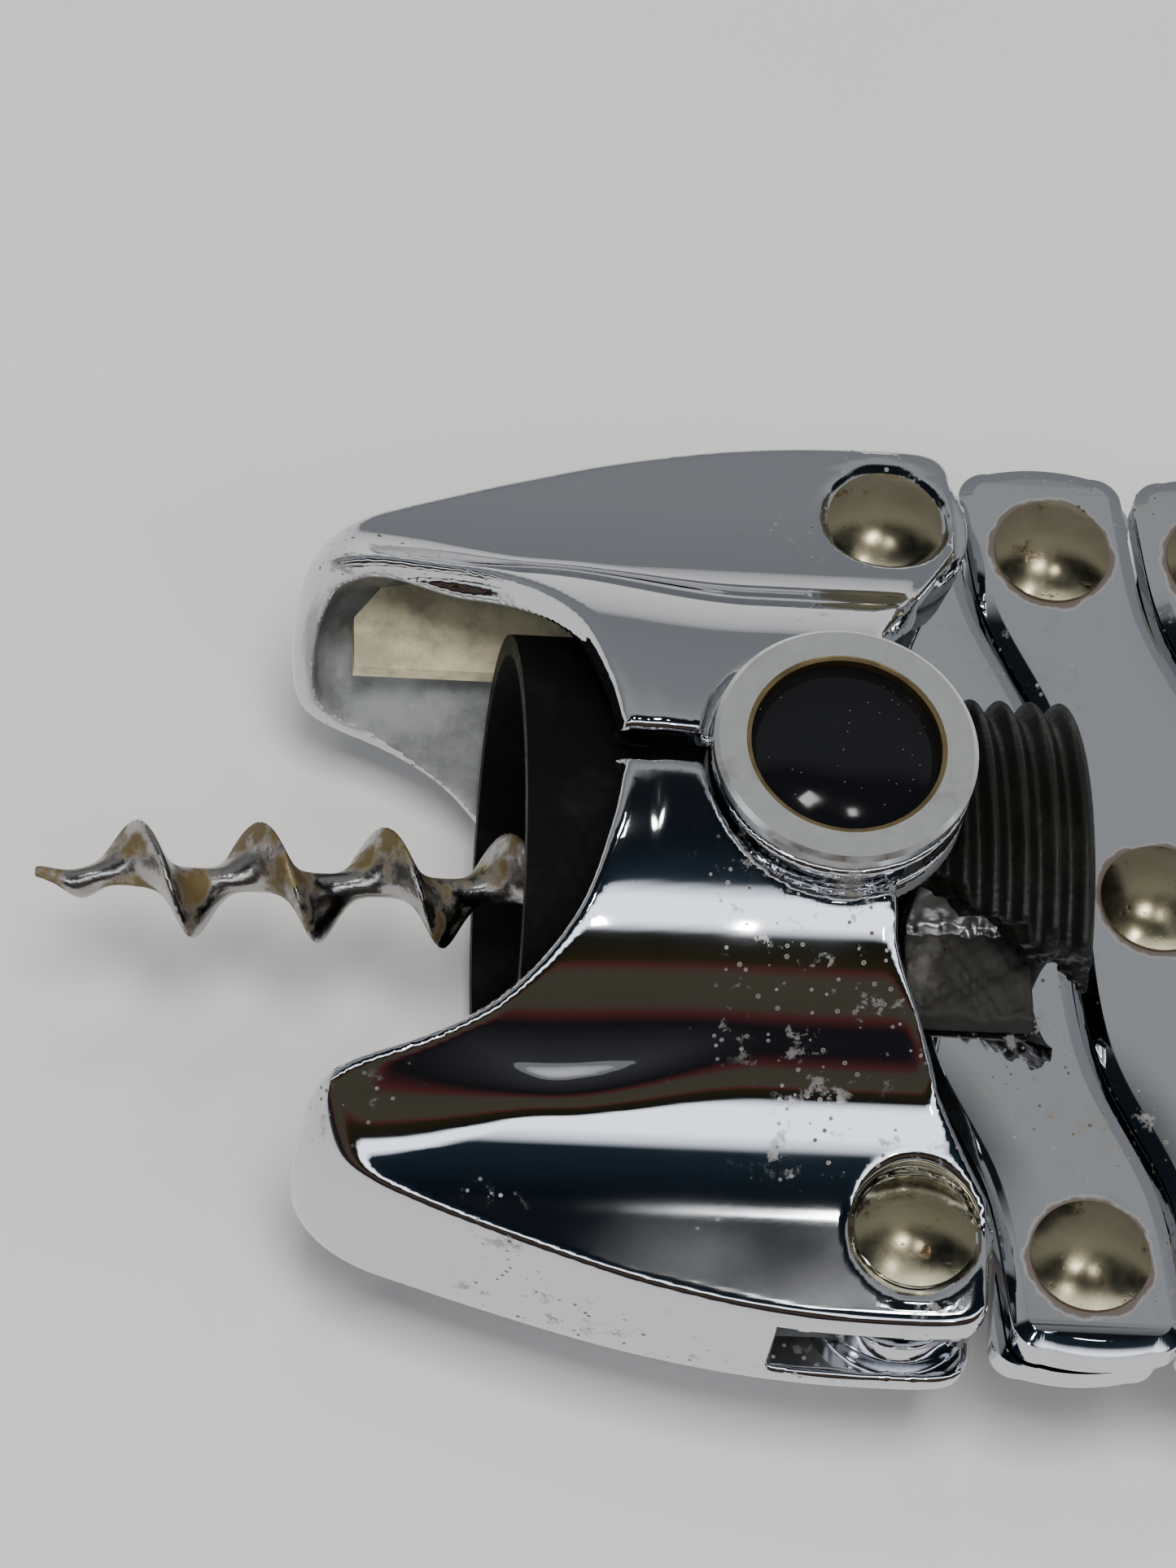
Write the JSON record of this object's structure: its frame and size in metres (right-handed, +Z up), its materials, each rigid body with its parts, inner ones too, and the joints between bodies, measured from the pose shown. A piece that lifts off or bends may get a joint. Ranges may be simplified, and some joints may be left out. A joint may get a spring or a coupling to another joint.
{
  "type": "lazy tongs corkscrew",
  "caption": "Fish-shaped concertina corkscrew: hinged jaws over a bottle guide, scissor bars, a helical worm and a tail-fin pull.",
  "frame": {"origin": "middle of the closed length and width, on the plane the corkscrew lies on", "axes": "+X along the worm's axis from its point towards the tail, +Y towards the fish's back, +Z up through the eyes"},
  "size_m": [0.1441, 0.065, 0.042],
  "materials": {
    "chrome": "bright plated casting, lightly pitted",
    "satin_chrome": "satin plated",
    "nickel_rivet": "worn nickel with tarnish round the rim",
    "worm_steel": "worn steel with rust in the turns",
    "pin_steel": "plain",
    "liner_steel": "dull, slightly yellowed",
    "brass": "polished",
    "black_cap": "polished",
    "black_moulding": "moulded, slight sheen",
    "carrier_block": "rough"
  },
  "bodies": {
    "head": {"bottle_guide": "black_moulding", "jaw_hinge_pin_front": "pin_steel", "eye_ring_front": "satin_chrome", "eye_collar_front": "brass", "eye_cap_front": "black_cap", "jaw_hinge_pin_back": "pin_steel", "eye_ring_back": "satin_chrome", "eye_collar_back": "brass", "eye_cap_back": "black_cap"},
    "upper_jaw": {"upper_jaw": "chrome", "upper_jaw_liner": "liner_steel", "jaw_rivet_upper": "nickel_rivet"},
    "lower_jaw": {"lower_jaw": "chrome", "lower_jaw_liner": "liner_steel", "jaw_rivet_lower": "nickel_rivet"},
    "worm_carrier": {"worm": "worm_steel", "worm_carrier_front": "carrier_block", "worm_carrier_back": "carrier_block", "worm_grip_front": "black_moulding", "worm_grip_back": "black_moulding", "hub_pin": "pin_steel"},
    "tail": {"tail_handle": "chrome", "tail_rivet": "nickel_rivet"},
    "front_bar_1": {"front_bar_1": "chrome", "row_2_rivet_lower": "nickel_rivet"},
    "back_bar_1": {"back_bar_1": "chrome"},
    "front_bar_2": {"front_bar_2": "chrome", "row_3_rivet_lower": "nickel_rivet", "row_2_rivet_upper": "nickel_rivet", "crossing_2_rivet": "nickel_rivet"},
    "back_bar_2": {"back_bar_2": "chrome"},
    "front_bar_3": {"front_bar_3": "chrome", "row_4_rivet_lower": "nickel_rivet", "row_3_rivet_upper": "nickel_rivet", "crossing_3_rivet": "nickel_rivet"},
    "back_bar_3": {"back_bar_3": "chrome"},
    "front_bar_4": {"front_bar_4": "chrome", "row_5_rivet_lower": "nickel_rivet", "row_4_rivet_upper": "nickel_rivet", "crossing_4_rivet": "nickel_rivet"},
    "back_bar_4": {"back_bar_4": "chrome"},
    "front_tail_link": {"front_tail_link": "chrome", "row_5_rivet_upper": "nickel_rivet"},
    "back_tail_link": {"back_tail_link": "chrome"}
  },
  "joints": [
    {"name": "lower_jaw_swing", "type": "hinge", "parent": "head", "child": "lower_jaw", "pos_m": [-0.023, 0, 0.021], "axis": [0, 0, 1], "range_deg": [0, 56]},
    {"name": "upper_jaw_swing", "type": "hinge", "parent": "head", "child": "upper_jaw", "pos_m": [-0.023, 0, 0.021], "axis": [0, 0, 1], "range_deg": [-56, 0]},
    {"name": "front_bar_1_pivot", "type": "hinge", "parent": "upper_jaw", "child": "front_bar_1", "pos_m": [-0.01724, 0.02576, 0.021], "axis": [0, 0, 1], "range_deg": [0, 112]},
    {"name": "back_bar_1_crossing", "type": "hinge", "parent": "front_bar_1", "child": "back_bar_1", "pos_m": [-0.01148, 0, 0.021], "axis": [0, 0, 1], "range_deg": [-112, 0]},
    {"name": "worm_carrier_pivot", "type": "hinge", "parent": "front_bar_1", "child": "worm_carrier", "pos_m": [-0.01148, 0, 0.021], "axis": [0, 0, 1], "range_deg": [-56, 0]},
    {"name": "front_bar_2_pivot", "type": "hinge", "parent": "back_bar_1", "child": "front_bar_2", "pos_m": [-0.00572, 0.02576, 0.021], "axis": [0, 0, 1], "range_deg": [0, 112]},
    {"name": "back_bar_2_crossing", "type": "hinge", "parent": "front_bar_2", "child": "back_bar_2", "pos_m": [0.00004, 0, 0.021], "axis": [0, 0, 1], "range_deg": [-112, 0]},
    {"name": "front_bar_3_pivot", "type": "hinge", "parent": "back_bar_2", "child": "front_bar_3", "pos_m": [0.00579, 0.02576, 0.021], "axis": [0, 0, 1], "range_deg": [0, 112]},
    {"name": "back_bar_3_crossing", "type": "hinge", "parent": "front_bar_3", "child": "back_bar_3", "pos_m": [0.01155, 0, 0.021], "axis": [0, 0, 1], "range_deg": [-112, 0]},
    {"name": "front_bar_4_pivot", "type": "hinge", "parent": "back_bar_3", "child": "front_bar_4", "pos_m": [0.01679, 0.02342, 0.021], "axis": [0, 0, 1], "range_deg": [0, 112]},
    {"name": "back_bar_4_crossing", "type": "hinge", "parent": "front_bar_4", "child": "back_bar_4", "pos_m": [0.02202, 0, 0.021], "axis": [0, 0, 1], "range_deg": [-112, 0]},
    {"name": "front_tail_link_pivot", "type": "hinge", "parent": "back_bar_4", "child": "front_tail_link", "pos_m": [0.02639, 0.01952, 0.021], "axis": [0, 0, 1], "range_deg": [0, 112]},
    {"name": "back_tail_link_pivot", "type": "hinge", "parent": "front_bar_4", "child": "back_tail_link", "pos_m": [0.02639, -0.01952, 0.021], "axis": [0, 0, 1], "range_deg": [-112, 0]},
    {"name": "tail_pivot", "type": "hinge", "parent": "front_tail_link", "child": "tail", "pos_m": [0.03075, 0, 0.021], "axis": [0, 0, 1], "range_deg": [-56, 0]}
  ],
  "couplings": [
    {"joint": "upper_jaw_swing", "follows": "lower_jaw_swing", "ratio": -1},
    {"joint": "front_bar_1_pivot", "follows": "lower_jaw_swing", "ratio": 2},
    {"joint": "back_bar_1_crossing", "follows": "lower_jaw_swing", "ratio": -2},
    {"joint": "worm_carrier_pivot", "follows": "lower_jaw_swing", "ratio": -1},
    {"joint": "front_bar_2_pivot", "follows": "lower_jaw_swing", "ratio": 2},
    {"joint": "back_bar_2_crossing", "follows": "lower_jaw_swing", "ratio": -2},
    {"joint": "front_bar_3_pivot", "follows": "lower_jaw_swing", "ratio": 2},
    {"joint": "back_bar_3_crossing", "follows": "lower_jaw_swing", "ratio": -2},
    {"joint": "front_bar_4_pivot", "follows": "lower_jaw_swing", "ratio": 2},
    {"joint": "back_bar_4_crossing", "follows": "lower_jaw_swing", "ratio": -2},
    {"joint": "front_tail_link_pivot", "follows": "lower_jaw_swing", "ratio": 2},
    {"joint": "back_tail_link_pivot", "follows": "lower_jaw_swing", "ratio": -2},
    {"joint": "tail_pivot", "follows": "lower_jaw_swing", "ratio": -1}
  ]
}
